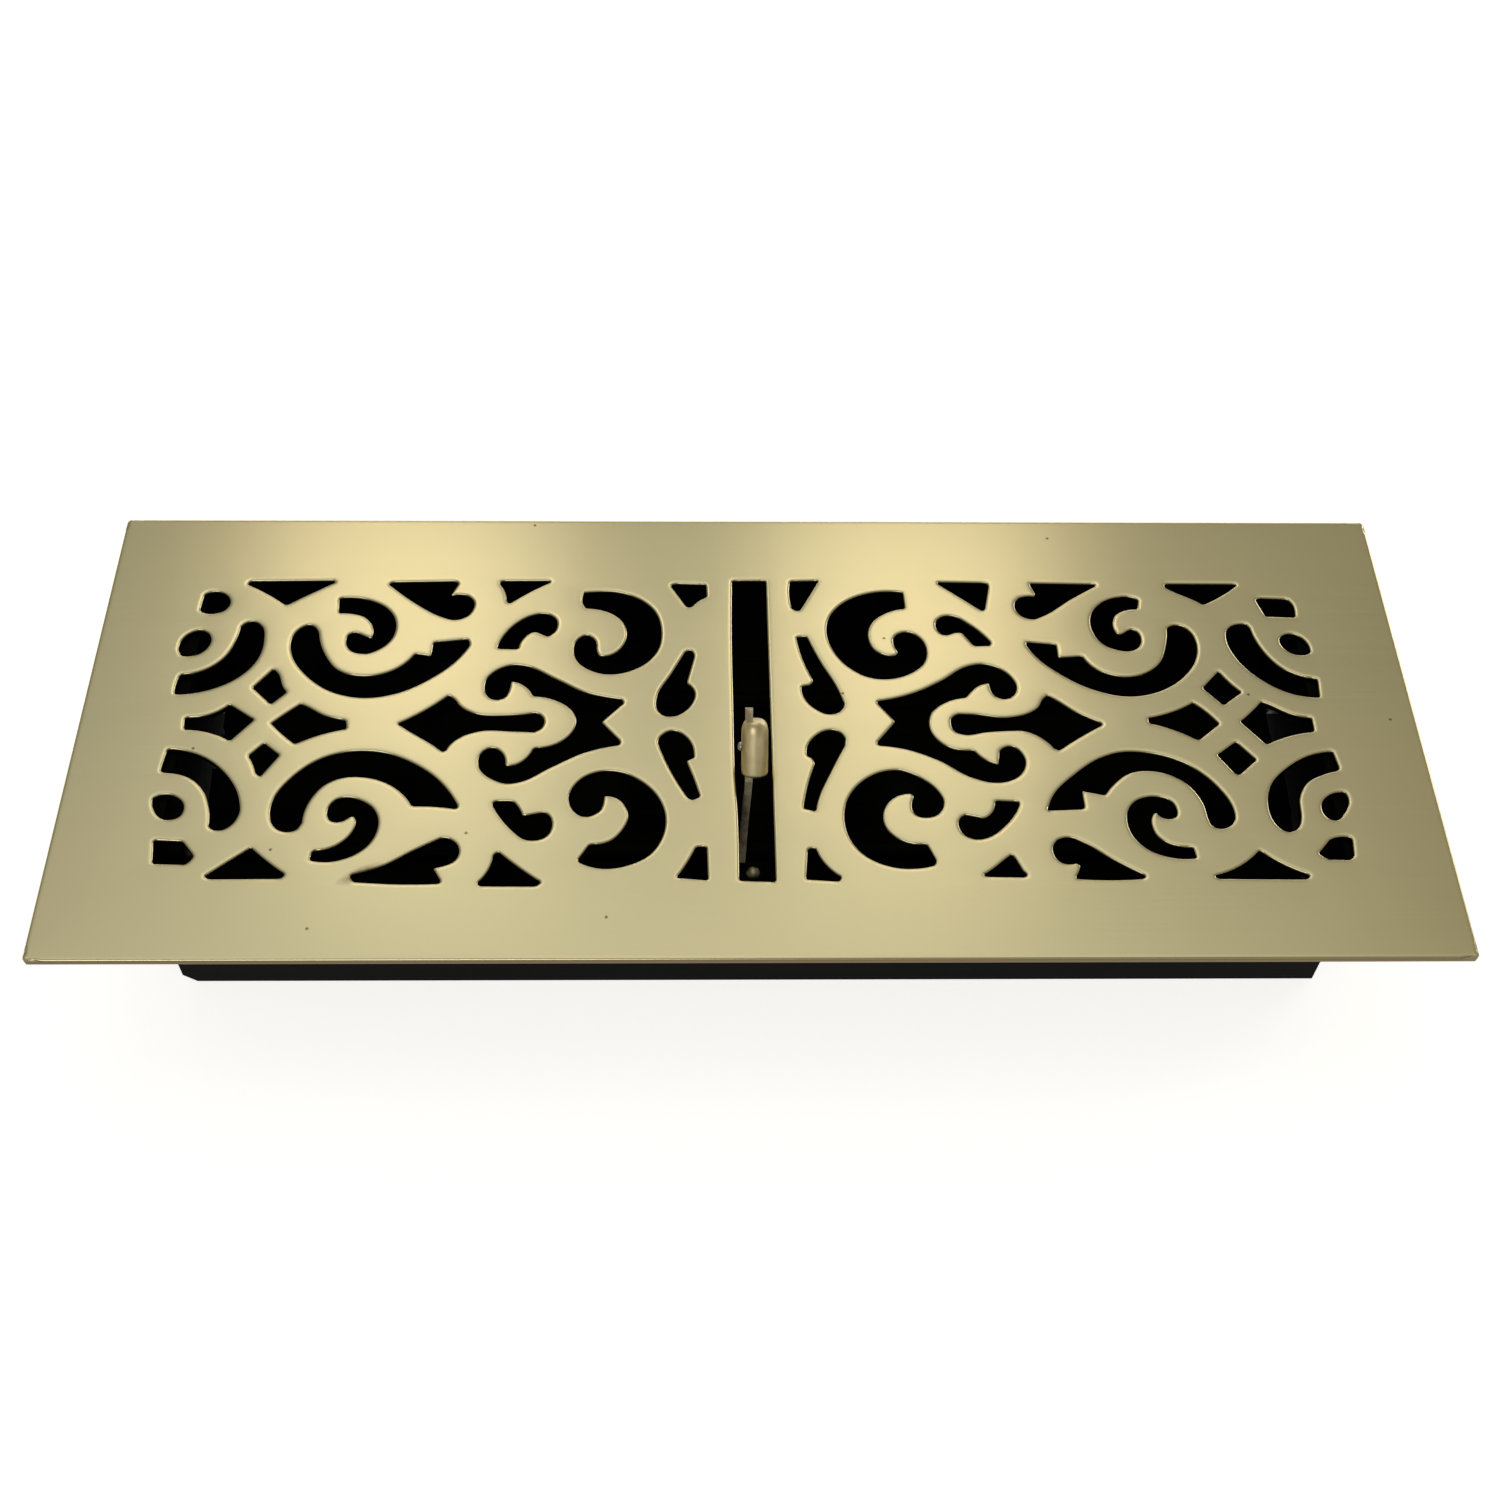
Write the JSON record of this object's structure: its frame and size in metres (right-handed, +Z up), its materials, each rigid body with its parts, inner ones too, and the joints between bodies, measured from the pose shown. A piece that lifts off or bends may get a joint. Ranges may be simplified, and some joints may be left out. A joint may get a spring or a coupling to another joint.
{
  "type": "louvred air grille",
  "caption": "Floor register: flat brass faceplate pierced with scrollwork over a black steel damper box, its linked louvres turned by a lever with a barrel knob in a slot.",
  "frame": {"origin": "centre of the bounding box at its lowest level, the bottom edge of the damper box under the middle of the faceplate", "axes": "+X along the length of the faceplate, +Y across it towards the far side, +Z up out of the duct, square to the faceplate"},
  "size_m": [0.343, 0.1396, 0.0597],
  "materials": {
    "brass_plate": "solid brass, brushed along its length, the pierced edges polished",
    "brass_knob": "turned and polished brass",
    "black_paint": "satin black baked enamel on sheet steel",
    "blackened_rivets": "steel rivets painted over with the box",
    "zinc_hardware": "dull zinc-plated steel",
    "nickel_plate": "nickel-plated steel, slightly yellowed"
  },
  "bodies": {
    "frame": {"faceplate": "brass_plate", "stud_left_near": "brass_plate", "stud_left_far": "brass_plate", "stud_right_near": "brass_plate", "stud_right_far": "brass_plate", "nut_left_near": "zinc_hardware", "nut_left_far": "zinc_hardware", "nut_right_near": "zinc_hardware", "nut_right_far": "zinc_hardware", "near_wall": "black_paint", "far_wall": "black_paint", "left_end_wall": "black_paint", "right_end_wall": "black_paint", "corner_rivet_left_near_low": "blackened_rivets", "corner_rivet_left_near_high": "blackened_rivets", "corner_rivet_left_far_low": "blackened_rivets", "corner_rivet_left_far_high": "blackened_rivets", "corner_rivet_right_near_low": "blackened_rivets", "corner_rivet_right_near_high": "blackened_rivets", "corner_rivet_right_far_low": "blackened_rivets", "corner_rivet_right_far_high": "blackened_rivets"},
    "louvre_near": {"louvre_near": "black_paint", "pivot_rod_near": "zinc_hardware", "rod_cap_near_left": "zinc_hardware", "rod_cap_near_right": "zinc_hardware", "spacer_near_left": "zinc_hardware", "spacer_near_right": "zinc_hardware", "link_pin_near": "nickel_plate", "lever": "nickel_plate", "lever_rivet_1": "nickel_plate", "lever_rivet_2": "nickel_plate", "knob": "brass_knob", "knob_screw": "zinc_hardware"},
    "louvre_far": {"louvre_far": "black_paint", "pivot_rod_far": "zinc_hardware", "rod_cap_far_left": "zinc_hardware", "rod_cap_far_right": "zinc_hardware", "spacer_far_left": "zinc_hardware", "spacer_far_right": "zinc_hardware", "link_pin_far": "nickel_plate"},
    "link_bar": {"link_bar": "zinc_hardware"}
  },
  "joints": [
    {"name": "near_louvre_hinge", "type": "hinge", "parent": "frame", "child": "louvre_near", "pos_m": [0, -0.0245, 0.022], "axis": [1, 0, 0], "range_deg": [-9, 50]},
    {"name": "far_louvre_hinge", "type": "hinge", "parent": "frame", "child": "louvre_far", "pos_m": [0, 0.0245, 0.022], "axis": [1, 0, 0], "range_deg": [-9, 50]},
    {"name": "link_bar_hinge", "type": "hinge", "parent": "louvre_near", "child": "link_bar", "pos_m": [-0.1435, -0.02899, 0.01087], "axis": [1, 0, 0], "range_deg": [-50, 9]}
  ],
  "couplings": [
    {"joint": "far_louvre_hinge", "follows": "near_louvre_hinge", "ratio": 1},
    {"joint": "link_bar_hinge", "follows": "near_louvre_hinge", "ratio": -1}
  ]
}
